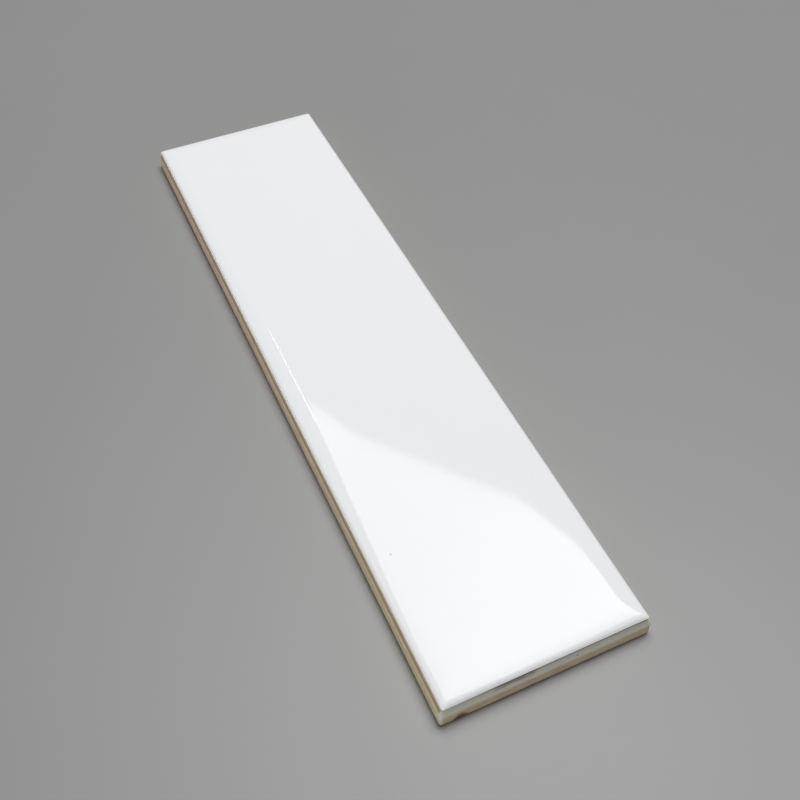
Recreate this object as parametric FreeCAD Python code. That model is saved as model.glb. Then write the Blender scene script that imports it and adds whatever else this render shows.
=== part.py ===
import FreeCAD, Part
import math
import os

# A dry-pressed, glazed ceramic wall tile, lying on its back with the glazed face up.
# X runs across its width, Y along its length, and Z up from the back.
# The origin is the middle of the back. All sizes are in millimetres.

# Overall size, measured over the parting ridge that runs round the four sides
WIDTH = 75.0
LENGTH = 300.0
THICKNESS = 10.0

# Lower half of the sides, from the back up to the ridge
BASE_INSET = 0.05
BASE_ARRIS = 0.7
NECK_INSET = 0.45
SIDE_CORNER_RADIUS = 1.0

# Parting ridge, where the two halves of the pressing die met, measured down from the face
RIDGE_DEPTH = 5.5
RIDGE_BAND = 0.4
RIDGE_FLANK = 0.6

# Upper half of the sides: a band that leans in to a recess under the glazed lip
RECESS_INSET = 1.15

# Glazed face: a rounded lip, a cushioned margin and a slight crown round a flat middle
FACE_INSET = 1.05
FACE_CORNER_RADIUS = 0.8
LIP_UNDERCUT = 1.0
LIP_RADIUS = 3.0
LIP_STEEPNESS = math.radians(50)
LIP_STEPS = 5
CUSHION_DROP = 0.6
CUSHION_RUN = 5.1
CUSHION_STEPS = 6
CROWN_DROP = 0.18
CROWN_RUN = 14.4
CROWN_STEPS = 3
FLAT_CORNER_RADIUS = 12.0

# Keyed back: shallow pockets in rows, inside a plain rim, that the bedding adhesive grips
KEY_DEPTH = 0.7
KEY_RIM = 6.0
KEY_RIB = 3.0
KEY_POCKET = 13.0
KEY_DRAFT = 0.6

# Places that follow from those sizes
RIDGE_HEIGHT = THICKNESS - RIDGE_DEPTH
CUSHION_FOOT_HEIGHT = THICKNESS - CUSHION_DROP - CROWN_DROP
CUSHION_SLOPE = math.atan(2 * CUSHION_DROP / CUSHION_RUN + 2 * CROWN_DROP / CROWN_RUN)
LIP_RUN = LIP_RADIUS * (math.sin(LIP_STEEPNESS) - math.sin(CUSHION_SLOPE))
LIP_RISE = LIP_RADIUS * (math.cos(CUSHION_SLOPE) - math.cos(LIP_STEEPNESS))
CUSHION_FOOT_INSET = FACE_INSET + LIP_RUN
LIP_FOOT_HEIGHT = CUSHION_FOOT_HEIGHT - LIP_RISE
RECESS_HEIGHT = LIP_FOOT_HEIGHT - LIP_UNDERCUT


def rounded_rectangle(size_x, size_y, corner_radius, height):
    """A level outline with rounded corners, centred on the Z axis."""
    half_x = size_x / 2
    half_y = size_y / 2
    inner_x = half_x - corner_radius
    inner_y = half_y - corner_radius
    diagonal = corner_radius * math.sqrt(0.5)

    def point(x, y):
        return FreeCAD.Vector(x, y, height)

    edges = []
    for sign_x, sign_y in ((1, 1), (-1, 1), (-1, -1), (1, -1)):
        ends = [point(sign_x * half_x, sign_y * inner_y), point(sign_x * inner_x, sign_y * half_y)]
        middle = point(sign_x * (inner_x + diagonal), sign_y * (inner_y + diagonal))
        start, end = ends if sign_x == sign_y else reversed(ends)
        if edges:
            edges.append(Part.makeLine(edges[-1].lastVertex().Point, start))
        edges.append(Part.Arc(start, middle, end).toShape())
    edges.append(Part.makeLine(edges[-1].lastVertex().Point, edges[0].firstVertex().Point))
    return Part.Wire(edges)


def tile_outline(inset, height, corner_radius):
    """The tile's outline at a height, drawn in from the ridge by an inset."""
    return rounded_rectangle(WIDTH - 2 * inset, LENGTH - 2 * inset, corner_radius, height)


def face_outline(inset, height):
    """An outline of the glazed face, whose corners grow rounder towards the flat middle."""
    run = CUSHION_FOOT_INSET + CROWN_RUN - FACE_INSET
    part_way = (inset - FACE_INSET) / run
    corner_radius = FACE_CORNER_RADIUS + part_way * (FLAT_CORNER_RADIUS - FACE_CORNER_RADIUS)
    return tile_outline(inset, height, corner_radius)


def side_outlines():
    """The sides, from the arris of the back over the parting ridge to the recess under the lip."""
    ridge_foot = RIDGE_HEIGHT - RIDGE_BAND / 2
    ridge_top = RIDGE_HEIGHT + RIDGE_BAND / 2
    section = [
        (BASE_INSET + BASE_ARRIS, 0),
        (BASE_INSET, BASE_ARRIS),
        (NECK_INSET, ridge_foot - RIDGE_FLANK),
        (0, ridge_foot),
        (0, ridge_top),
    ]
    outlines = [tile_outline(inset, height, SIDE_CORNER_RADIUS) for inset, height in section]
    return outlines + [tile_outline(RECESS_INSET, RECESS_HEIGHT, FACE_CORNER_RADIUS)]


def lip_outlines():
    """The rounded lip of the glaze, an arc from its steep lower edge to the slope of the cushion's foot."""
    outlines = []
    for step in range(LIP_STEPS):
        slope = LIP_STEEPNESS + (CUSHION_SLOPE - LIP_STEEPNESS) * step / LIP_STEPS
        run = LIP_RADIUS * (math.sin(LIP_STEEPNESS) - math.sin(slope))
        rise = LIP_RADIUS * (math.cos(slope) - math.cos(LIP_STEEPNESS))
        outlines.append(face_outline(FACE_INSET + run, LIP_FOOT_HEIGHT + rise))
    return outlines


def fall(drop, run, reach):
    """The fall of a parabola that eases out to level over a run, at a reach in from its foot."""
    return drop * max(0, 1 - reach / run) ** 2


def margin_outlines():
    """The margin of the face, where the cushion and the crown ease from the lip to the flat middle."""
    crown_rest = CROWN_RUN - CUSHION_RUN
    reaches = [CUSHION_RUN * step / CUSHION_STEPS for step in range(CUSHION_STEPS)]
    reaches += [CUSHION_RUN + crown_rest * step / CROWN_STEPS for step in range(CROWN_STEPS + 1)]
    outlines = []
    for reach in reaches:
        total_fall = fall(CUSHION_DROP, CUSHION_RUN, reach) + fall(CROWN_DROP, CROWN_RUN, reach)
        outlines.append(face_outline(CUSHION_FOOT_INSET + reach, THICKNESS - total_fall))
    return outlines


def key_pocket():
    """One pocket of the keyed back, tapered so that it leaves the die."""
    outlines = []
    for size, height in ((KEY_POCKET, 0), (KEY_POCKET - 2 * KEY_DRAFT, KEY_DEPTH)):
        corner = FreeCAD.Vector(-size / 2, -size / 2, height)
        outlines.append(Part.makePlane(size, size, corner).OuterWire)
    return Part.makeLoft(outlines, True, True)


def pocket_places(length):
    """Places of the pockets that fit along a back of one length, with equal ribs between them."""
    room = length - 2 * (BASE_INSET + KEY_RIM)
    pitch = KEY_POCKET + KEY_RIB
    count = int((room + KEY_RIB) // pitch)
    return [(step - (count - 1) / 2) * pitch for step in range(count)]


def keyed_back():
    """All the pockets of the back, as one tool to cut with."""
    pocket = key_pocket()
    pockets = []
    for place_x in pocket_places(WIDTH):
        for place_y in pocket_places(LENGTH):
            pockets.append(pocket.translated(FreeCAD.Vector(place_x, place_y, 0)))
    return Part.makeCompound(pockets)


def tile():
    """The whole tile, one solid."""
    outlines = side_outlines() + lip_outlines() + margin_outlines()
    return Part.makeLoft(outlines, True, True).cut(keyed_back())


os.makedirs("parts", exist_ok=True)
tile().exportStep("parts/tile.step")
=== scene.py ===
"""Models the pressed, glazed wall tile of the packed frame, gives it its finishes and sets its stage."""

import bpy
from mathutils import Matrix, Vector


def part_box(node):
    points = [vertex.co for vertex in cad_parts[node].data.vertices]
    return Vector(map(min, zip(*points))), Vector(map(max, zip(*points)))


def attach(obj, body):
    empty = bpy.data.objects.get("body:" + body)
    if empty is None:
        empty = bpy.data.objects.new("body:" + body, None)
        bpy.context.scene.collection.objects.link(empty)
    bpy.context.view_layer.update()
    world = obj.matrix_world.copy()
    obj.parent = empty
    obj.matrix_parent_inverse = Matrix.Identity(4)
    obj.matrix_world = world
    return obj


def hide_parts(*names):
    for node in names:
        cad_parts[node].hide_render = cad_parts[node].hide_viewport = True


bl_info = {
    "name": "Glazed Wall Tile",
    "version": (1, 0, 0),
    "blender": (4, 5, 0),
    "location": "3D View > Sidebar > Tile",
    "description": "Models a pressed wall tile with its glaze, bare sides and keyed back, and lights it",
    "category": "Object",
}

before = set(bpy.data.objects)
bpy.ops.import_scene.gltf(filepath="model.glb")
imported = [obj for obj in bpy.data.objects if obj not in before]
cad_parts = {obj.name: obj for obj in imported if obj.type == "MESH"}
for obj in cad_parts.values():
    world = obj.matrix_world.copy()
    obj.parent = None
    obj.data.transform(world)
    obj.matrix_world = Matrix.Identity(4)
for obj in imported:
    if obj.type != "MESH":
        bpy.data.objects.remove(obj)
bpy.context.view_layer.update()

import math

import bmesh
import bpy
from mathutils import Matrix, Quaternion, Vector

MM = 0.001
TILE_NODE = "tile"
TILE_BODY = "root"

tile_low, tile_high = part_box(TILE_NODE)
tile_size = tile_high - tile_low

# Steps of the mesh: rings up the section, cuts along the runs and sides of a rounded corner
CORNER_STEPS = 8
ARRIS_STEPS = 3
SIDE_STEPS = 5
BAND_STEPS = 6
WALL_STEPS = 3
LIP_STEPS = 10
CUSHION_STEPS = 14
CROWN_STEPS = 8
LONG_RUN_CUTS = (80, 3)
SHORT_RUN_CUTS = (72,)
MOUTH_STEPS = 2

# Two places this close count as one, and faces that meet at less than this angle are shaded as one
NEAR = 0.002 * MM
SMOOTH_ANGLE = math.radians(28)

# Normals that rise less than this belong to the walls of a pocket, or to the worn lower edge
WALL_RISE = 0.9
WORN_RISE = 0.1

# Wear draws back an uneven depth of this many octaves, and reaches this far up the lip
WEAR_OCTAVES = 3
LIP_WAVE_HEIGHT = 0.5 * MM

# A chip is pushed in three times, over ever smaller shares of its length, in a mesh cut finer round it
CHIP_SHARES = (1.0, 0.65, 0.4)
CHIP_ROUND = 1.6
CHIP_CUTS = 2
CHIP_CRUMBLE = 0.06
CHIP_SEED = 4
CHIP_WAY = Vector((0, 1, 0.15))
CHIP_LEAN = 1
CORNER_WAY = Vector((-0.7, 0.7, 0.15))
CORNER_LEAN = 0

# Sockets of a Mix node while it mixes colours: factor, first and second colour, and result
MIX_FACTOR, MIX_FIRST, MIX_SECOND, MIX_RESULT = 0, 6, 7, 2

# Most of a noise lies in this range round its middle
NOISE_RANGE = (0.3, 0.7)
NOISE_MIDDLE = 0.5

# A spot is full out to the first share of its radius and gone at the second
SPOT_FULL = 0.5
SPOT_GONE = 1.2

# White glaze: its clouds, its thin edge on the lip, the waves and peel of its surface, and its gloss
CLOUDS = {"size": 26 * MM, "detail": 3}
CLOUD_STRENGTH = 0.05
THIN_EDGE = {"size": 7 * MM}
THIN_EDGE_WANDER = 0.3 * MM
THIN_EDGE_BELOW = 0.1 * MM
THIN_EDGE_ABOVE = 0.4 * MM
WAVES = {"size": 22 * MM}
WAVE_DEPTH = 0.004 * MM
PEEL = {"size": 1.6 * MM}
PEEL_DEPTH = 0.0006 * MM
GLOSS = {"size": 9 * MM}
GLAZE_ROUGHNESS = 0.042
GLAZE_UNEVENNESS = 0.02
GLAZE_IOR = 1.5
GLAZE_SPECULAR = 0.205
SPECK_STRENGTH = 0.75
FAINT_STRENGTH = 0.12

# Bare body: its sandy grain, its patches and streaks, and the painted shade of a dark brown band below the
# recess under the lip
GRAIN = {"size": 0.35 * MM, "detail": 3, "roughness": 0.7}
GRAIN_RANGE = (0.45, 0.75)
GRAIN_STRENGTH = 0.35
GRAIN_DEPTH = 0.07 * MM
PATCHES = {"size": 6 * MM, "detail": 4, "roughness": 0.6}
STREAKS = {"size": 1.1 * MM, "detail": 3, "roughness": 0.6, "stretch": (0.12, 0.12, 1)}
PATCH_SHARE = 0.5
LUMPS = {"size": 1.8 * MM, "detail": 3, "roughness": 0.6}
LUMP_DEPTH = 0.12 * MM
BODY_ROUGHNESS = 0.9
SHADE_BELOW_RECESS_WANDER = 0.5 * MM
SHADE_BELOW_RECESS_DROP = 0.95 * MM
SHADE_BELOW_RECESS_REACH = 0.65 * MM
SHADE_BELOW_RECESS_STRENGTH = 0.9

# Overspill on the near short side, which runs down at the near left corner
NEAR_SIDE_MARGIN = 0.9 * MM
NEAR_SIDE_FADE = 0.5 * MM
RUN_WANDER = 0.8 * MM
RUN_FULL = 1.1 * MM
RUN_GONE = 2.0 * MM
RUN_LENGTH = 3.0 * MM
SPILL_BELOW_RIDGE = 0.1 * MM
SPILL_WANDER = 0.7 * MM
SPILL_FADE = 0.6 * MM
SPILL_STRENGTH = 0.92
SPILL_GLOSS = 0.35

# Painted shade in the recess where the overspill meets the lip: a dark olive line, sealed by glaze towards
# the near left corner
RECESS_SHADE_BELOW = 0.15 * MM
RECESS_SHADE_ABOVE = 0.1 * MM
RECESS_SHADE_STRENGTH = 0.85
SEAL_WANDER = 6 * MM
SEAL_FULL = 8 * MM
SEAL_GONE = 19 * MM

# Smear under the recess's line of painted shade, in strands along the side, and the strength of the other
# marks
STRANDS = {"size": 0.55 * MM, "detail": 4, "roughness": 0.75, "stretch": (0.13, 1, 1)}
STRAND_WANDER = 5.0 * MM
SMEAR_FULL = 0.6
SMEAR_FOOT = 1.5 * MM
SMEAR_HEAD = 0.3 * MM
SMEAR_STRENGTH = 0.5
# The chip's reddish brown stain is painted dark, as painted shade in the hollow of the break
CHIP_STAIN_AND_SHADE_STRENGTH = 0.8
PINHOLE_STRENGTH = 0.85

# Floor
FLOOR_PATCHES = {"size": 60 * MM, "detail": 3}
FLOOR_SHADE = 0.97
FLOOR_ROUGHNESS = 0.45
FLOOR_IOR = 1.45

# Nearest distance that the camera sees
CLIP_START = 1 * MM


def length(name, description, default):
    """A length that a user can change, in metres."""
    return bpy.props.FloatProperty(
        name=name, description=description, default=default, subtype="DISTANCE", unit="LENGTH", precision=5
    )


def colour(name, description, default):
    """A colour that a user can change, in linear light."""
    return bpy.props.FloatVectorProperty(
        name=name, description=description, default=default, subtype="COLOR", size=3, min=0, max=1
    )


def place(name, description, default):
    """A place that a user can change, in metres."""
    return bpy.props.FloatVectorProperty(
        name=name, description=description, default=default, subtype="TRANSLATION", unit="LENGTH", size=3
    )


def pair(name, description, default):
    """A pair of numbers that a user can change."""
    return bpy.props.FloatVectorProperty(name=name, description=description, default=default, size=2)


def angle(name, description, degrees):
    """An angle that a user can change, given in degrees and kept in radians."""
    return bpy.props.FloatProperty(
        name=name, description=description, default=math.radians(degrees), subtype="ANGLE", unit="ROTATION"
    )


def share(name, description, default):
    """A share from 0 to 1 that a user can change."""
    return bpy.props.FloatProperty(
        name=name, description=description, default=default, subtype="FACTOR", min=0, max=1
    )


def number(name, description, default, unit="NONE"):
    """A plain number that a user can change."""
    return bpy.props.FloatProperty(name=name, description=description, default=default, unit=unit)


class TileShape(bpy.types.PropertyGroup):
    """Sizes of the tile's section, measured in from the ridge and up from the back."""

    width: length("Width", "Across the ridge", tile_size.x)
    run: length("Length", "Along the ridge", tile_size.y)
    thickness: length("Thickness", "From the back to the flat of the face", tile_size.z)
    base_inset: length("Base inset", "Lower edge of the sides, in from the ridge", 0.05 * MM)
    base_arris: length("Base arris", "Flat on the lower edge, as high as it is wide", 0.45 * MM)
    neck_inset: length("Neck inset", "Lower half of the sides where it meets the ridge", 0.45 * MM)
    side_corner: length("Side corner radius", "Corners of the lower half and of the ridge", 1.0 * MM)
    ridge_height: length("Ridge height", "Middle of the parting ridge", 4.5 * MM)
    ridge_band: length("Ridge band", "Height of the ridge", 0.4 * MM)
    ridge_flank: length("Ridge flank", "Height of the slope under the ridge", 0.6 * MM)
    ridge_edge: length("Ridge edge", "Softened edges of the ridge", 0.1 * MM)
    recess_inset: length("Recess inset", "Recess under the glazed lip", 1.15 * MM)
    face_inset: length("Face inset", "Lower edge of the glazed lip", 1.05 * MM)
    face_corner: length("Face corner radius", "Corners of the lip", 0.8 * MM)
    lip_undercut: length("Lip undercut", "Height of the lip's underside", 1.0 * MM)
    lip_radius: length("Lip radius", "Rounding of the lip", 3.0 * MM)
    lip_steepness: angle("Lip steepness", "Slope of the lip at its lower edge", 50)
    cushion_drop: length("Cushion drop", "Fall of the margin down to the lip", 0.6 * MM)
    cushion_run: length("Cushion run", "Width of the margin", 5.1 * MM)
    crown_drop: length("Crown drop", "Fall of the slight crown round the flat middle", 0.18 * MM)
    crown_run: length("Crown run", "Width of the crown, from the lip", 14.4 * MM)
    flat_corner: length("Flat corner radius", "Corners of the flat middle", 12.0 * MM)
    flat_border: length("Flat border", "Level band where the margin meets the flat middle", 1.0 * MM)
    key_depth: length("Key depth", "Depth of the pockets in the back", 0.7 * MM)
    key_rim: length("Key rim", "Least plain rim round the pockets", 6.0 * MM)
    key_rib: length("Key rib", "Ribs between the pockets", 3.0 * MM)
    key_pocket: length("Key pocket", "Side of a pocket at its mouth", 13.0 * MM)
    key_draft: length("Key draft", "Lean of a pocket's walls", 0.6 * MM)
    key_edge: length("Key edge", "Worn mouth of a pocket", 0.15 * MM)


class TileWear(bpy.types.PropertyGroup):
    """Flaws of the pressing, the glazing and later handling."""

    ridge_rag: length("Ragged ridge", "Most that the ridge is broken back", 0.22 * MM)
    ridge_rag_size: length("Size of the rags", "Length of a broken stretch of the ridge", 5 * MM)
    base_rag: length("Worn base", "Most that the lower edge is worn back", 0.1 * MM)
    base_rag_size: length("Size of the worn stretches", "Length of a worn stretch", 9 * MM)
    lip_wave: length("Lip wave", "Most that the lip draws back", 0.1 * MM)
    lip_wave_size: length("Size of the lip waves", "Length of a wave of the lip", 24 * MM)
    chip_place: place("Chip", "Middle of the chip in the lower edge", (-30.4 * MM, -149.8 * MM, 0.6 * MM))
    chip_size: length("Chip size", "Half the length of the chip", 2.4 * MM)
    chip_height: length("Chip height", "Half the height of the chip", 0.9 * MM)
    chip_depth: length("Chip depth", "Depth of the chip", 0.55 * MM)
    corner_place: place("Knocked corner", "Middle of the knock", (37.2 * MM, -149.7 * MM, 0.6 * MM))
    corner_size: length("Knock size", "Half the size of the knocked corner", 1.3 * MM)
    corner_height: length("Knock height", "Half the height of the knocked corner", 1.2 * MM)
    corner_depth: length("Knock depth", "Depth of the knocked corner", 0.4 * MM)
    speck_place: place("Speck", "Grey speck in the glaze", (-28.62 * MM, -94.1 * MM, 10 * MM))
    speck_size: length("Speck size", "Radius of a speck in the glaze", 0.28 * MM)
    faint_place: place("Faint speck", "Faint speck in the glaze", (29.25 * MM, -84.8 * MM, 10 * MM))
    other_place: place("Other faint speck", "Faint speck in the glaze", (30.2 * MM, -111.1 * MM, 10 * MM))
    pinhole_place: place("Pinhole", "Pinhole in the overspill", (10.04 * MM, -149.43 * MM, 5.86 * MM))
    pinhole_size: length("Pinhole size", "Radius of the pinhole", 0.34 * MM)
    smear_across: length("Smear", "Middle of the dark smear, across the width", -11.5 * MM)
    smear_length: length("Smear length", "Half the length of the smear", 8.5 * MM)


class TileColours(bpy.types.PropertyGroup):
    """Colours of the glaze, the bare body, the marks on them and the painted shade under the lip, in linear
    light.
    """

    glaze: colour("Glaze", "White glaze", (0.855, 0.86, 0.872))
    thin_glaze: colour("Thin glaze", "Glaze where it thins out at the lip", (0.80, 0.80, 0.795))
    body_light: colour("Light body", "Bare fired body", (0.86, 0.74, 0.51))
    body_dark: colour("Dark body", "Darker patches of the fired body", (0.70, 0.575, 0.375))
    # Painted shade: dark brown band painted below the recess, where the lip shades the side
    shade_below_recess: colour("Shade_below_recess", "Brown body next to the glaze", (0.40, 0.315, 0.20))
    overspill: colour("Overspill", "Thin grey glaze that ran over the side", (0.79, 0.785, 0.69))
    # Painted shade: dark olive line painted in the recess under the lip
    seam: colour("Seam", "Olive line where the overspill meets the lip", (0.36, 0.35, 0.28))
    # Reddish brown stain of the break, darkened as painted shade in the chip's hollow
    chip: colour("Chip", "Fresh break, stained reddish brown", (0.30, 0.17, 0.11))
    dark_mark: colour("Dark mark", "Pinhole and smear", (0.075, 0.062, 0.045))
    speck: colour("Speck", "Specks in the glaze", (0.13, 0.13, 0.14))
    floor: colour("Floor", "Plain floor", (0.274, 0.274, 0.273))


class TileStage(bpy.types.PropertyGroup):
    """Camera, lamps and floor of the studio."""

    lens: number("Lens", "Focal length in millimetres", 47.3224, unit="CAMERA")
    azimuth: angle("Azimuth", "Camera turned about the upright", 334.0963)
    elevation: angle("Elevation", "Camera above the horizon", 49.8809)
    distance: length("Distance", "Camera from its target", 398.293 * MM)
    target: place("Target", "Point of the floor that the camera looks at", (14.174 * MM, -33.704 * MM, 0))
    roll: angle("Roll", "Camera turned about its own line of sight", 0.7756)
    shift_x: number("Shift X", "Frame moved sideways, in parts of its width", -0.03705)
    shift_y: number("Shift Y", "Frame moved upwards, in parts of its width", 0.00469)
    softbox_place: place("Softbox", "Middle of the softbox", (0.705, 0.836, 3.0))
    softbox_turn: angle("Softbox turn", "Softbox turned about the upright", -51.0)
    softbox_long: length("Softbox length", "Long side of the softbox", 2.59)
    softbox_short: length("Softbox width", "Short side of the softbox", 1.82)
    softbox_glow: number("Softbox glow", "Radiance of the softbox", 10.0)
    hot_spot: pair("Hot spot", "Brightest place of the softbox, in parts of its sides", (0.664, 0.62))
    hot_reach: pair("Hot spot reach", "Way to the dim part, in parts of its sides", (0.526, 1.9))
    edge_fade: share("Edge fade", "Part of the softbox's light that its dim part lacks", 0.4)
    strip_place: place("Strip", "Middle of the strip lamp", (0.424, 2.515, 3.0))
    strip_turn: angle("Strip turn", "Strip lamp turned about the upright", 88.2)
    strip_long: length("Strip length", "Long side of the strip lamp", 0.64)
    strip_short: length("Strip width", "Short side of the strip lamp", 0.13)
    strip_glow: number("Strip glow", "Radiance of the strip lamp", 10.0)
    card_place: place("Card", "Middle of the low card at the near left", (-1.0, -0.65, 0.12))
    card_long: length("Card length", "Long side of the card", 1.6)
    card_short: length("Card height", "Short side of the card", 0.24)
    card_glow: number("Card glow", "Radiance of the card", 3.9)
    fill: number("Fill", "Strength of the even light from all round", 0.03)
    floor_size: length("Floor size", "Side of the floor", 8.0)


def deselect_objects():
    """Leaves edit mode with nothing selected."""
    if bpy.context.mode != "OBJECT":
        bpy.ops.object.mode_set(mode="OBJECT")
    bpy.ops.object.select_all(action="DESELECT")


def select_where(kind, test):
    """Selects the vertices, edges or faces of the mesh in edit mode that pass a test, and no others."""
    bpy.ops.mesh.select_all(action="DESELECT")
    bpy.ops.mesh.select_mode(type=kind)
    data = bpy.context.object.data
    mesh = bmesh.from_edit_mesh(data)
    parts = {"VERT": mesh.verts, "EDGE": mesh.edges, "FACE": mesh.faces}[kind]
    chosen = [part for part in parts if test(part)]
    for part in chosen:
        part.select_set(True)
    mesh.select_flush_mode()
    bmesh.update_edit_mesh(data)
    if not chosen:
        raise RuntimeError("a step of the tile found nothing to work on")


def at_height(edge, height):
    """Whether an edge lies level at a height."""
    return all(abs(vertex.co.z - height) < NEAR for vertex in edge.verts)


def is_open(edge):
    """Whether an edge still waits for a face."""
    return len(edge.link_faces) < 2


def evenly(first, last, steps):
    """Values from the first to the last in even steps, without the first."""
    return [first + (last - first) * step / steps for step in range(1, steps + 1)]


def side_rings(shape):
    """Rings of the bare sides as (inset, height, corner radius), from the back to the lip."""
    ridge_foot = shape.ridge_height - shape.ridge_band / 2
    ridge_top = shape.ridge_height + shape.ridge_band / 2
    neck_height = ridge_foot - shape.ridge_flank
    rings = []
    for step in range(ARRIS_STEPS + 1):
        rise = shape.base_arris * step / ARRIS_STEPS
        rings.append((shape.base_inset + shape.base_arris - rise, rise, shape.side_corner))
    insets = evenly(shape.base_inset, shape.neck_inset, SIDE_STEPS)
    heights = evenly(shape.base_arris, neck_height, SIDE_STEPS)
    rings += [(inset, height, shape.side_corner) for inset, height in zip(insets, heights)]
    edge = shape.ridge_edge
    rings.append((edge, ridge_foot - edge, shape.side_corner))
    rings.append((0, ridge_foot + edge, shape.side_corner))
    rings.append((0, ridge_top - edge, shape.side_corner))
    insets = evenly(edge, shape.recess_inset, BAND_STEPS)
    heights = evenly(ridge_top + edge, recess_height(shape), BAND_STEPS)
    corners = evenly(shape.side_corner, shape.face_corner, BAND_STEPS)
    rings.append((edge, ridge_top + edge, shape.side_corner))
    rings += list(zip(insets, heights, corners))
    insets = evenly(shape.recess_inset, shape.face_inset, WALL_STEPS)[:-1]
    heights = evenly(recess_height(shape), lip_foot_height(shape), WALL_STEPS)[:-1]
    return rings + [(inset, height, shape.face_corner) for inset, height in zip(insets, heights)]


def cushion_slope(shape):
    """Angle of the cushioned margin where it meets the lip."""
    falls = (shape.cushion_drop / shape.cushion_run, shape.crown_drop / shape.crown_run)
    return math.atan(2 * sum(falls))


def margin_fall(shape, reach):
    """Fall of the margin below the flat middle, at a reach in from the lip."""
    falls = ((shape.cushion_drop, shape.cushion_run), (shape.crown_drop, shape.crown_run))
    return sum(drop * max(0, 1 - reach / run) ** 2 for drop, run in falls)


def lip_reach(shape, slope):
    """How far in and up the lip's arc comes from its lower edge, where it has eased to a slope."""
    run = shape.lip_radius * (math.sin(shape.lip_steepness) - math.sin(slope))
    rise = shape.lip_radius * (math.cos(slope) - math.cos(shape.lip_steepness))
    return run, rise


def lip_foot_height(shape):
    """Height of the lip's lower edge."""
    _, rise = lip_reach(shape, cushion_slope(shape))
    return shape.thickness - margin_fall(shape, 0) - rise


def recess_height(shape):
    """Height of the recess under the lip."""
    return lip_foot_height(shape) - shape.lip_undercut


def face_rings(shape):
    """Rings of the glazed face, from the lower edge of the lip over the cushioned margin to the flat."""
    foot = lip_foot_height(shape)
    section = [(shape.face_inset, foot)]
    for slope in evenly(shape.lip_steepness, cushion_slope(shape), LIP_STEPS):
        run, rise = lip_reach(shape, slope)
        section.append((shape.face_inset + run, foot + rise))
    margin_foot = section[-1][0]
    reaches = evenly(0, shape.cushion_run, CUSHION_STEPS)
    reaches += evenly(shape.cushion_run, shape.crown_run, CROWN_STEPS)
    section += [(margin_foot + reach, shape.thickness - margin_fall(shape, reach)) for reach in reaches]
    growth = (shape.flat_corner - shape.face_corner) / (margin_foot + shape.crown_run - shape.face_inset)
    corner_at_ridge = shape.face_corner - growth * shape.face_inset
    return [(inset, height, corner_at_ridge + growth * inset) for inset, height in section]


def add_outline(shape, inset, height, corner_radius):
    """Adds one level outline of the tile, a plane with its corners rounded and its face taken out."""
    bpy.ops.mesh.primitive_plane_add(size=1, location=(0, 0, height), enter_editmode=True)
    bpy.ops.transform.resize(value=(shape.width - 2 * inset, shape.run - 2 * inset, 1))
    bpy.ops.mesh.bevel(affect="VERTICES", offset=corner_radius, segments=CORNER_STEPS)
    bpy.ops.mesh.delete(type="ONLY_FACE")


def loft_rings(shape, rings):
    """Adds the outlines from the back up and bridges each one to the last."""
    last_height = None
    for inset, height, corner_radius in rings:
        add_outline(shape, inset, height, corner_radius)
        if last_height is not None:
            levels = (last_height, height)
            select_where("EDGE", lambda edge: is_open(edge) and any(at_height(edge, z) for z in levels))
            bpy.ops.mesh.bridge_edge_loops()
        last_height = height


def cut_runs(axis, shortest, pieces):
    """Cuts every straight edge along an axis that is longer than a length into even pieces."""

    def runs_along(edge):
        way = edge.verts[1].co - edge.verts[0].co
        return way.length > shortest and abs(way[axis]) > way.length - NEAR

    select_where("EDGE", runs_along)
    bpy.ops.mesh.subdivide(number_cuts=pieces - 1)


def cut_lengths(shape):
    """Cuts the straight runs of the sides fine enough for the ragged ridge and the worn edges."""
    for axis, size, cuts in ((0, shape.width, SHORT_RUN_CUTS), (1, shape.run, LONG_RUN_CUTS)):
        shortest = size / 2
        for pieces in cuts:
            cut_runs(axis, shortest, pieces)
            shortest /= pieces


def close_face(shape):
    """Fills the flat middle of the face, with a level band round it."""
    top = shape.thickness
    select_where("EDGE", lambda edge: is_open(edge) and at_height(edge, top))
    bpy.ops.mesh.edge_face_add()
    bpy.ops.mesh.inset(thickness=shape.flat_border, depth=0)


def pocket_count(shape, size):
    """How many pockets fit along one side of the back."""
    room = size - 2 * (shape.base_inset + shape.key_rim)
    return int((room + shape.key_rib) // (shape.key_pocket + shape.key_rib))


def close_back(shape):
    """Adds the keyed back: a grid whose cells are inset into tapered pockets, filled out to the sides."""
    pitch = shape.key_pocket + shape.key_rib
    across = pocket_count(shape, shape.width)
    along = pocket_count(shape, shape.run)
    bpy.ops.mesh.primitive_grid_add(
        x_subdivisions=across, y_subdivisions=along, size=1, location=(0, 0, 0)
    )
    bpy.ops.transform.resize(value=(across * pitch, along * pitch, 1))
    bpy.ops.mesh.flip_normals()
    bpy.ops.mesh.select_mode(type="FACE")
    bpy.ops.mesh.inset(use_individual=True, thickness=shape.key_rib / 2, depth=0)
    bpy.ops.mesh.inset(use_individual=True, thickness=shape.key_draft, depth=-shape.key_depth)
    select_where("EDGE", lambda edge: is_open(edge) and at_height(edge, 0))
    bpy.ops.mesh.fill()

    def is_mouth(edge):
        walls = [face for face in edge.link_faces if abs(face.normal.z) < WALL_RISE]
        end = edge.verts[0].co
        inside = abs(end.x) < across * pitch / 2 and abs(end.y) < along * pitch / 2
        return inside and at_height(edge, 0) and len(walls) == 1

    select_where("EDGE", is_mouth)
    bpy.ops.mesh.bevel(offset=shape.key_edge, segments=MOUTH_STEPS)


def paint_group(name, test):
    """Puts the vertices that pass a test in a new vertex group."""
    select_where("VERT", test)
    bpy.ops.object.vertex_group_assign_new()
    bpy.context.object.vertex_groups.active.name = name


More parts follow.
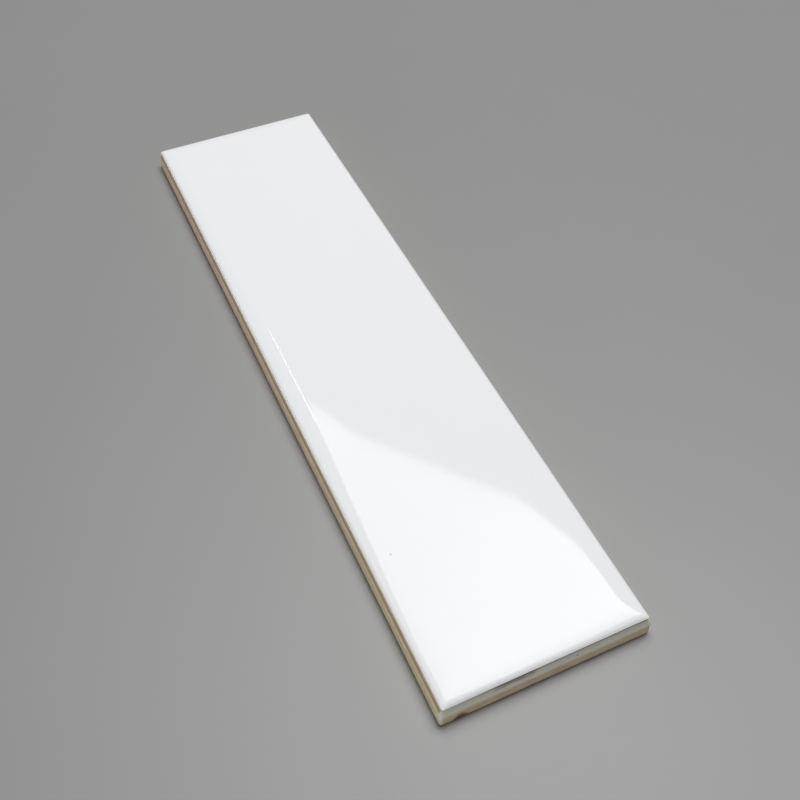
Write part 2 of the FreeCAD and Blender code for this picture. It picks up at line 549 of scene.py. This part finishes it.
def wear_back(name, deepest, size, test):
    """Draws chosen vertices back into the body by an uneven depth, never outwards."""
    piece = bpy.context.object
    bpy.ops.object.mode_set(mode="EDIT")
    paint_group(name, test)
    bpy.ops.object.mode_set(mode="OBJECT")
    grain = bpy.data.textures.new(name, "CLOUDS")
    grain.noise_scale = size
    grain.noise_depth = WEAR_OCTAVES
    wear = piece.modifiers.new(name, "DISPLACE")
    wear.texture = grain
    wear.texture_coords = "LOCAL"
    wear.vertex_group = name
    wear.mid_level = 1
    wear.strength = deepest
    bpy.ops.object.modifier_apply(modifier=name)


def wear_edges(shape, wear):
    """Makes the ridge ragged, wears the lower edge and lets the lip wander."""
    ridge_reach = shape.ridge_band / 2 + shape.ridge_flank / 2
    lip_top = lip_foot_height(shape) + LIP_WAVE_HEIGHT
    base_top = shape.base_arris + NEAR
    wear_back(
        "ragged_ridge", wear.ridge_rag, wear.ridge_rag_size,
        lambda vertex: abs(vertex.co.z - shape.ridge_height) < ridge_reach,
    )
    wear_back(
        "worn_base", wear.base_rag, wear.base_rag_size,
        lambda vertex: NEAR < vertex.co.z < base_top and vertex.normal.z < WORN_RISE,
    )
    wear_back(
        "wavy_lip", wear.lip_wave, wear.lip_wave_size,
        lambda vertex: recess_height(shape) - NEAR < vertex.co.z < lip_top,
    )


def break_chip(middle, size, height, lean, push):
    """Breaks a chip out of the sides, deepest in its middle, or at its right end where it leans by 1."""
    bpy.ops.object.mode_set(mode="EDIT")

    def is_near(face):
        centre = face.calc_center_median()
        return (centre - middle).length < CHIP_ROUND * size and centre.z > NEAR

    select_where("FACE", is_near)
    bpy.ops.mesh.subdivide(number_cuts=CHIP_CUTS)
    for share in CHIP_SHARES:

        def is_in(vertex):
            reach = vertex.co - middle
            aside = (reach.x - lean * (1 - share) * size) / (share * size)
            return math.hypot(aside, reach.y / size, reach.z / height) < 1 and vertex.co.z > NEAR

        select_where("VERT", is_in)
        bpy.ops.transform.translate(value=push / len(CHIP_SHARES))
        bpy.ops.transform.vertex_random(offset=CHIP_CRUMBLE * push.length, seed=CHIP_SEED)
    bpy.ops.object.mode_set(mode="OBJECT")


class Value:
    """An output that varies over a surface, wrapped so that shader maths reads as an expression."""

    def __init__(self, nodes, socket):
        self.nodes = nodes
        self.socket = socket

    def maths(self, operation, first, second):
        """Adds one Math node."""
        return self.nodes.node("ShaderNodeMath", {"operation": operation}, {0: first, 1: second})

    def __add__(self, other):
        return self.maths("ADD", self, other)

    __radd__ = __add__

    def __sub__(self, other):
        return self.maths("SUBTRACT", self, other)

    def __rsub__(self, other):
        return self.maths("SUBTRACT", other, self)

    def __mul__(self, other):
        return self.maths("MULTIPLY", self, other)

    __rmul__ = __mul__


class Nodes:
    """The nodes of a material or a lamp in the making, all added by one method."""

    def __init__(self, tree):
        self.tree = tree

    def node(self, kind, settings=None, sockets=None, output=0):
        """Adds a node, sets it, feeds its sockets and gives back one of its outputs."""
        made = self.tree.nodes.new(kind)
        for name, value in (settings or {}).items():
            setattr(made, name, value)
        for key, value in (sockets or {}).items():
            self.feed(made.inputs[key], value)
        return Value(self, made.outputs[output])

    def feed(self, socket, value):
        """Links a socket to a value that varies, or sets it to a fixed one."""
        if isinstance(value, Value):
            self.tree.links.new(value.socket, socket)
        else:
            socket.default_value = value

    def rise(self, value, low, high):
        """Eases from 0 to 1 while a value goes from low to high."""
        sockets = {"Value": value, "From Min": low, "From Max": high}
        return self.node("ShaderNodeMapRange", {"interpolation_type": "SMOOTHSTEP"}, sockets)


class Finish(Nodes):
    """A material in the making, with methods for the kinds of node that it uses often."""

    def __init__(self, name):
        self.material = bpy.data.materials.new(name)
        self.material.use_nodes = True
        super().__init__(self.material.node_tree)
        self.shader = self.tree.nodes["Principled BSDF"]
        self.object_place = self.node("ShaderNodeTexCoord", output="Object")

    def shade(self, **sockets):
        """Feeds the sockets of the material's shader."""
        for name, value in sockets.items():
            self.feed(self.shader.inputs[name.replace("_", " ")], value)

    def axis(self, letter):
        """The place on the tile along one axis."""
        return self.node("ShaderNodeSeparateXYZ", sockets={0: self.object_place}, output=letter)

    def noise(self, size, detail=2.0, roughness=0.5, stretch=(1, 1, 1)):
        """A noise with features of a size, drawn out along an axis where its stretch is under 1."""
        spread = self.node("ShaderNodeMapping", sockets={"Vector": self.object_place, "Scale": stretch})
        sockets = {"Vector": spread, "Scale": 1 / size, "Detail": detail, "Roughness": roughness}
        return self.node("ShaderNodeTexNoise", sockets=sockets)

    def mix(self, amount, first, second):
        """A colour part of the way from the first to the second."""
        sockets = {MIX_FACTOR: amount, MIX_FIRST: self.opaque(first), MIX_SECOND: self.opaque(second)}
        return self.node("ShaderNodeMix", {"data_type": "RGBA"}, sockets, MIX_RESULT)

    def opaque(self, tint):
        """A colour with its alpha, ready for a socket."""
        return tint if isinstance(tint, Value) else (*tint, 1)

    def bump(self, height, depth, below=None):
        """A normal that follows a height, over another bump or over the bare mesh."""
        sockets = {"Height": height, "Distance": depth, "Strength": 1}
        if below is not None:
            sockets["Normal"] = below
        return self.node("ShaderNodeBump", sockets=sockets)

    def spot(self, middle, radius):
        """A round mark about a point, 1 inside and 0 outside."""
        sockets = {0: self.object_place, 1: tuple(middle)}
        apart = self.node("ShaderNodeVectorMath", {"operation": "DISTANCE"}, sockets, "Value")
        return 1 - self.rise(apart, SPOT_FULL * radius, SPOT_GONE * radius)


def white_glaze(shape, wear, tints):
    """Glossy white glaze, a little uneven, thinner and greyer at the lip, with three specks."""
    finish = Finish("white_glaze")
    foot = lip_foot_height(shape)
    uneven_height = finish.axis("Z") + finish.noise(**THIN_EDGE) * THIN_EDGE_WANDER
    thick = finish.rise(uneven_height, foot - THIN_EDGE_BELOW, foot + THIN_EDGE_ABOVE)
    tint = finish.mix(thick, tints.thin_glaze, tints.glaze)
    cloudy = finish.rise(finish.noise(**CLOUDS), *NOISE_RANGE)
    tint = finish.mix(cloudy * CLOUD_STRENGTH, tint, tints.thin_glaze)
    specks = (
        (wear.speck_place, SPECK_STRENGTH),
        (wear.faint_place, FAINT_STRENGTH),
        (wear.other_place, FAINT_STRENGTH),
    )
    for middle, strength in specks:
        tint = finish.mix(finish.spot(middle, wear.speck_size) * strength, tint, tints.speck)
    waves = finish.bump(finish.noise(**WAVES), WAVE_DEPTH)
    peel = finish.bump(finish.noise(**PEEL), PEEL_DEPTH, waves)
    roughness = GLAZE_ROUGHNESS + finish.noise(**GLOSS) * GLAZE_UNEVENNESS
    finish.shade(Base_Color=tint, Roughness=roughness, Normal=peel)
    finish.shade(IOR=GLAZE_IOR, Specular_IOR_Level=GLAZE_SPECULAR)
    return finish.material


def bare_body(shape, wear, tints):
    """Bare fired body: sandy beige, with overspill on the near short side, and painted shade in and below
    the recess under the lip.
    """
    finish = Finish("bare_body")
    across = finish.axis("X")
    along = finish.axis("Y")
    height = finish.axis("Z")
    grain = finish.noise(**GRAIN)
    patches = finish.noise(**PATCHES)
    uneven = patches - NOISE_MIDDLE
    patchy = patches * PATCH_SHARE + finish.noise(**STREAKS) * (1 - PATCH_SHARE)
    tint = finish.mix(finish.rise(patchy, *NOISE_RANGE), tints.body_dark, tints.body_light)
    tint = finish.mix(finish.rise(grain, *GRAIN_RANGE) * GRAIN_STRENGTH, tint, tints.body_dark)

    top = recess_height(shape)
    # Painted shade: a dark brown band below the recess, where the lip shades the side
    from_shade_below_recess = height + uneven * SHADE_BELOW_RECESS_WANDER - (top - SHADE_BELOW_RECESS_DROP)
    shaded_below_recess = 1 - finish.rise(from_shade_below_recess * from_shade_below_recess, 0, SHADE_BELOW_RECESS_REACH ** 2)
    tint = finish.mix(shaded_below_recess * SHADE_BELOW_RECESS_STRENGTH, tint, tints.shade_below_recess)

    near_end = shape.run / 2 - shape.recess_inset - NEAR_SIDE_MARGIN
    on_near_side = finish.rise(along * -1, near_end, near_end + NEAR_SIDE_FADE)
    left_edge = -shape.width / 2
    run_down = 1 - finish.rise(across + uneven * RUN_WANDER, left_edge + RUN_FULL, left_edge + RUN_GONE)
    skin = height + run_down * RUN_LENGTH + uneven * SPILL_WANDER
    spill_edge = shape.ridge_height - SPILL_BELOW_RIDGE
    spilled = on_near_side * finish.rise(skin, spill_edge, spill_edge + SPILL_FADE)
    tint = finish.mix(spilled * SPILL_STRENGTH, tint, tints.overspill)

    # Painted shade: a dark olive line in the recess under the lip on the near side, turning to glaze colour
    # towards the near left corner
    under_lip = on_near_side * finish.rise(height, top - RECESS_SHADE_BELOW, top + RECESS_SHADE_ABOVE)
    sealed = 1 - finish.rise(across + uneven * SEAL_WANDER, left_edge + SEAL_FULL, left_edge + SEAL_GONE)
    seam = finish.mix(sealed, tints.seam, tints.thin_glaze)
    tint = finish.mix(under_lip * RECESS_SHADE_STRENGTH, tint, seam)

    from_smear = across - wear.smear_across
    full_reach = SMEAR_FULL * wear.smear_length
    near_smear = 1 - finish.rise(from_smear * from_smear, full_reach ** 2, wear.smear_length ** 2)
    strands = height + (finish.noise(**STRANDS) - NOISE_MIDDLE) * STRAND_WANDER
    hugging = finish.rise(strands, top - SMEAR_FOOT, top - SMEAR_HEAD)
    tint = finish.mix(near_smear * on_near_side * hugging * SMEAR_STRENGTH, tint, tints.dark_mark)
    # Reddish brown stain of the break, painted darker as painted shade in the chip's hollow
    chipped = finish.spot(wear.chip_place, wear.chip_size)
    tint = finish.mix(chipped * CHIP_STAIN_AND_SHADE_STRENGTH, tint, tints.chip)
    pinhole = finish.spot(wear.pinhole_place, wear.pinhole_size)
    tint = finish.mix(pinhole * PINHOLE_STRENGTH, tint, tints.dark_mark)

    lumpy = finish.bump(finish.noise(**LUMPS), LUMP_DEPTH)
    sandy = finish.bump(grain, GRAIN_DEPTH, lumpy)
    finish.shade(Base_Color=tint, Roughness=BODY_ROUGHNESS - spilled * SPILL_GLOSS, Normal=sandy)
    return finish.material


def plain_floor(tints):
    """Plain matt floor with the faintest unevenness."""
    finish = Finish("plain_floor")
    darker = [part * FLOOR_SHADE for part in tints.floor]
    tint = finish.mix(finish.noise(**FLOOR_PATCHES), tints.floor, darker)
    finish.shade(Base_Color=tint, Roughness=FLOOR_ROUGHNESS, IOR=FLOOR_IOR)
    return finish.material


class TILE_OT_model(bpy.types.Operator):
    """Model the tile, from its keyed back up to its glazed face, and give it its finishes"""

    bl_idname = "tile.model"
    bl_label = "Model Wall Tile"

    def execute(self, context):
        scene = context.scene
        shape, wear, tints = scene.tile_shape, scene.tile_wear, scene.tile_colours
        deselect_objects()
        loft_rings(shape, side_rings(shape) + face_rings(shape))
        piece = context.object
        piece.name = "wall_tile"
        cut_lengths(shape)
        close_face(shape)
        close_back(shape)
        bpy.ops.mesh.select_all(action="SELECT")
        bpy.ops.mesh.normals_make_consistent(inside=False)
        bpy.ops.object.mode_set(mode="OBJECT")
        wear_edges(shape, wear)
        chip_push = CHIP_WAY * wear.chip_depth
        break_chip(Vector(wear.chip_place), wear.chip_size, wear.chip_height, CHIP_LEAN, chip_push)
        corner_push = CORNER_WAY * wear.corner_depth
        break_chip(Vector(wear.corner_place), wear.corner_size, wear.corner_height, CORNER_LEAN, corner_push)
        piece.data.materials.append(bare_body(shape, wear, tints))
        piece.data.materials.append(white_glaze(shape, wear, tints))
        bpy.ops.object.mode_set(mode="EDIT")
        foot = lip_foot_height(shape)
        select_where("FACE", lambda face: face.calc_center_median().z > foot)
        piece.active_material_index = len(piece.data.materials) - 1
        bpy.ops.object.material_slot_assign()
        bpy.ops.object.mode_set(mode="OBJECT")
        bpy.ops.object.shade_smooth_by_angle(angle=SMOOTH_ANGLE)
        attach(piece, TILE_BODY)
        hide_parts(TILE_NODE)
        return {"FINISHED"}


class TILE_OT_stage(bpy.types.Operator):
    """Set the floor, the softbox, the strip lamp, the low card, the fill light and the camera"""

    bl_idname = "tile.stage"
    bl_label = "Set Tile Stage"

    def execute(self, context):
        stage, tints = context.scene.tile_stage, context.scene.tile_colours
        deselect_objects()
        bpy.ops.mesh.primitive_plane_add(size=stage.floor_size, location=(0, 0, tile_low.z))
        floor = context.object
        floor.name = "floor"
        floor.data.materials.append(plain_floor(tints))
        down = Vector((0, 0, -1))
        softbox_sides = (stage.softbox_long, stage.softbox_short)
        strip_sides = (stage.strip_long, stage.strip_short)
        card_sides = (stage.card_long, stage.card_short)
        to_tile = -Vector(stage.card_place)
        lamps = (
            ("softbox", stage.softbox_place, down, stage.softbox_turn, softbox_sides, stage.softbox_glow),
            ("strip", stage.strip_place, down, stage.strip_turn, strip_sides, stage.strip_glow),
            ("card", stage.card_place, to_tile, 0, card_sides, stage.card_glow),
        )
        for lamp in lamps:
            self.add_lamp(*lamp)
        self.add_hot_spot(bpy.data.lights["softbox"], stage)
        self.add_fill(context.scene, stage)
        self.add_camera(context.scene, stage)
        context.scene.view_settings.view_transform = "Standard"
        return {"FINISHED"}

    def add_lamp(self, name, middle, way, turn, sides, glow):
        """Adds a rectangular lamp of an even radiance that faces a way."""
        aim = way.to_track_quat("-Z", "Y") @ Quaternion((0, 0, 1), turn)
        bpy.ops.object.light_add(type="AREA", location=middle, rotation=aim.to_euler())
        lamp = bpy.context.object
        lamp.name = name
        lamp.data.name = name
        lamp.data.shape = "RECTANGLE"
        lamp.data.size, lamp.data.size_y = sides
        lamp.data.energy = glow * math.pi * lamp.data.size * lamp.data.size_y

    def add_hot_spot(self, light, stage):
        """Dims a lamp away from its brightest place."""
        light.use_nodes = True
        nodes = Nodes(light.node_tree)
        middle = (*stage.hot_spot, 0)
        reach = (*stage.hot_reach, 1)
        on_lamp = nodes.node("ShaderNodeNewGeometry", output="Parametric")
        apart = nodes.node("ShaderNodeVectorMath", {"operation": "SUBTRACT"}, {0: on_lamp, 1: middle})
        apart = nodes.node("ShaderNodeVectorMath", {"operation": "DIVIDE"}, {0: apart, 1: reach})
        parts_away = nodes.node("ShaderNodeVectorMath", {"operation": "LENGTH"}, {0: apart}, "Value")
        emission = light.node_tree.nodes["Emission"]
        nodes.feed(emission.inputs["Color"], 1 - nodes.rise(parts_away, 0, 1) * stage.edge_fade)

    def add_fill(self, scene, stage):
        """Adds the even light from all round."""
        world = bpy.data.worlds.new("even_light")
        world.use_nodes = True
        background = world.node_tree.nodes["Background"]
        background.inputs["Color"].default_value = (1, 1, 1, 1)
        background.inputs["Strength"].default_value = stage.fill
        scene.world = world

    def add_camera(self, scene, stage):
        """Adds the camera, turned about its own line of sight and with its frame shifted."""
        level = math.cos(stage.elevation)
        across, along = math.sin(stage.azimuth) * level, -math.cos(stage.azimuth) * level
        back = Vector((across, along, math.sin(stage.elevation)))
        right = Vector((0, 0, 1)).cross(back).normalized()
        up = back.cross(right)
        turned = Matrix((right, up, back)).transposed() @ Matrix.Rotation(stage.roll, 3, "Z")
        bpy.ops.object.camera_add(location=Vector(stage.target) + back * stage.distance)
        camera = bpy.context.object
        camera.name = "camera"
        camera.rotation_euler = turned.to_euler()
        camera.data.lens = stage.lens
        camera.data.shift_x = stage.shift_x
        camera.data.shift_y = stage.shift_y
        camera.data.clip_start = CLIP_START
        scene.camera = camera


class TILE_PT_panel(bpy.types.Panel):
    """Lists the tile's steps and the values that they use"""

    bl_idname = "TILE_PT_panel"
    bl_label = "Glazed Wall Tile"
    bl_space_type = "VIEW_3D"
    bl_region_type = "UI"
    bl_category = "Tile"

    def draw(self, context):
        for operator in (TILE_OT_model, TILE_OT_stage):
            self.layout.operator(operator.bl_idname)
        for name, group in property_groups.items():
            box = self.layout.box()
            box.label(text=group.__doc__)
            for value in group.__annotations__:
                box.prop(getattr(context.scene, name), value)


property_groups = {
    "tile_shape": TileShape,
    "tile_wear": TileWear,
    "tile_colours": TileColours,
    "tile_stage": TileStage,
}
classes = (*property_groups.values(), TILE_OT_model, TILE_OT_stage, TILE_PT_panel)


def register():
    """Registers the classes and hangs the values on the scene."""
    for each in classes:
        bpy.utils.register_class(each)
    for name, group in property_groups.items():
        setattr(bpy.types.Scene, name, bpy.props.PointerProperty(type=group))


def unregister():
    """Takes the values off the scene and the classes out again."""
    for name in property_groups:
        delattr(bpy.types.Scene, name)
    for each in reversed(classes):
        bpy.utils.unregister_class(each)


def main():
    """Builds the tile and its stage."""
    register()
    bpy.ops.tile.model()
    bpy.ops.tile.stage()


if __name__ == "__main__":
    main()
